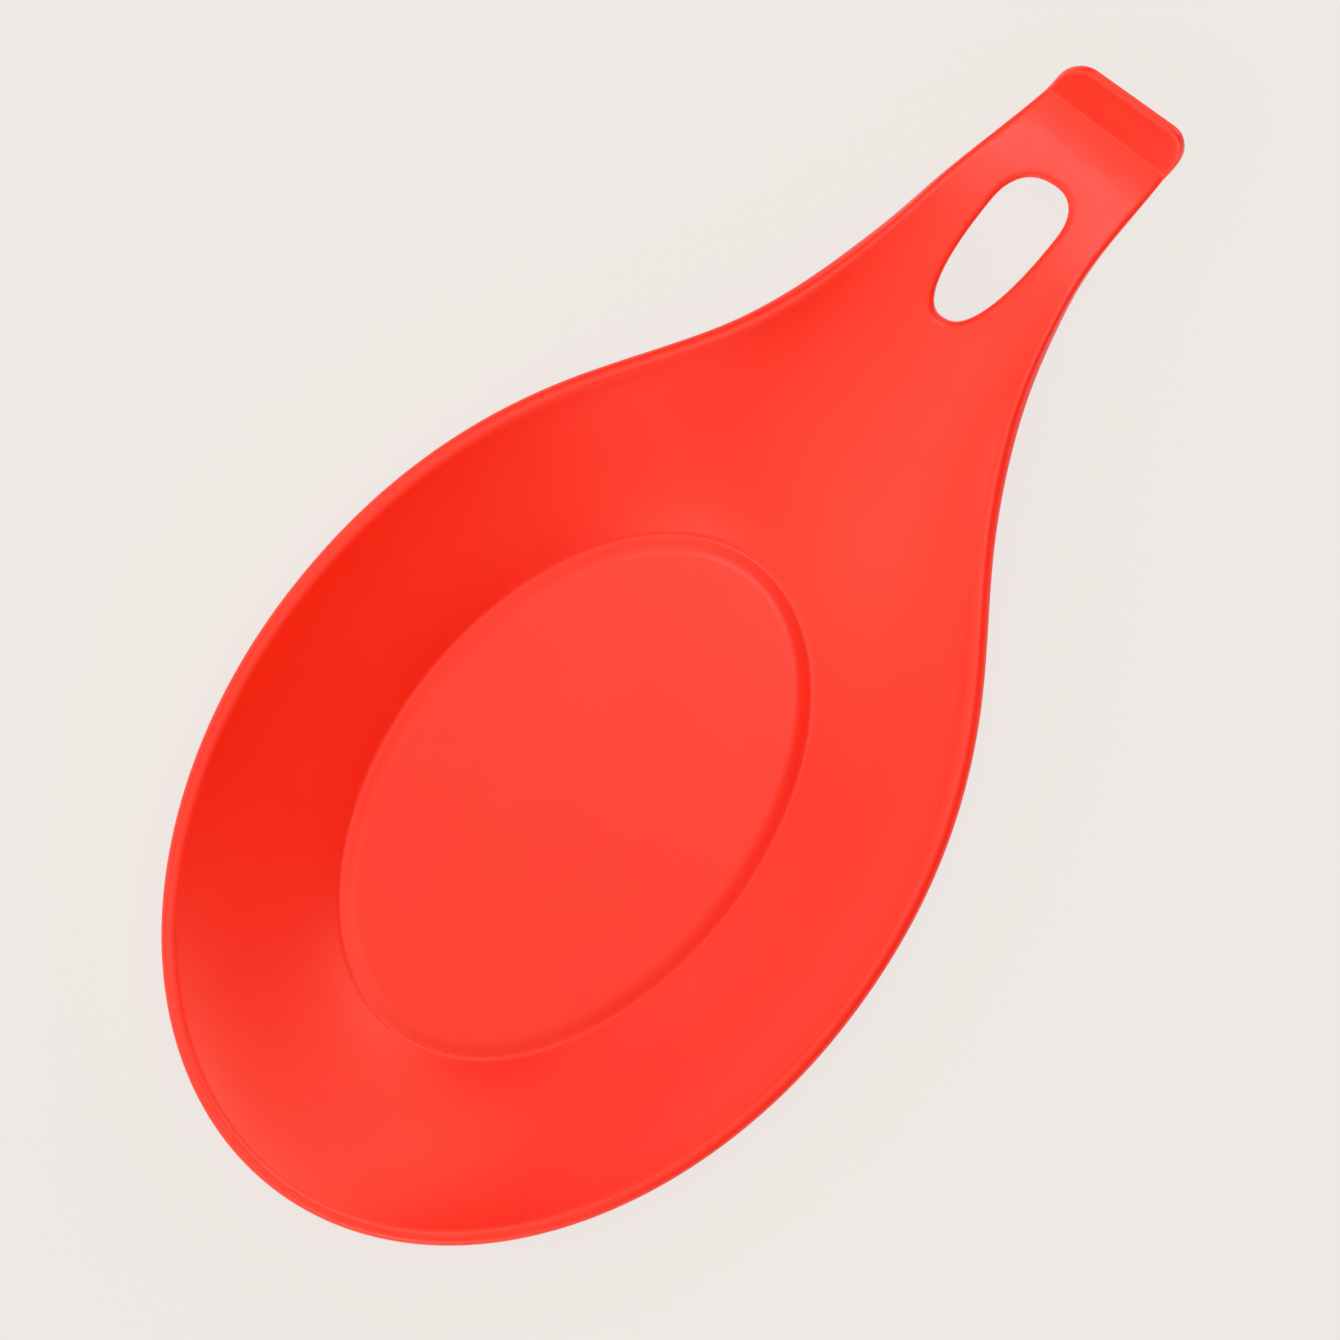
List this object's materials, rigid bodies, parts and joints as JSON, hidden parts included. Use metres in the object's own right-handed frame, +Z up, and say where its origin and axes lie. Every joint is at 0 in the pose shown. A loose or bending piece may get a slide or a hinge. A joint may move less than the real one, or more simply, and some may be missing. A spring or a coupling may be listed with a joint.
{
  "type": "spoon rest",
  "caption": "Egg-shaped silicone spoon rest: shallow dish with a raised oval floor panel, a ramped neck, a handle with a hanging slot and an upturned end lip.",
  "frame": {"origin": "on the table under the middle of the overall length and width", "axes": "+X along the length from the bowl to the tip of the handle, +Y across, +Z up from the table"},
  "size_m": [0.1951, 0.0992, 0.025],
  "materials": {
    "red_silicone": "satin moulded silicone"
  },
  "bodies": {
    "root": {"moulded_body": "red_silicone"}
  },
  "joints": []
}
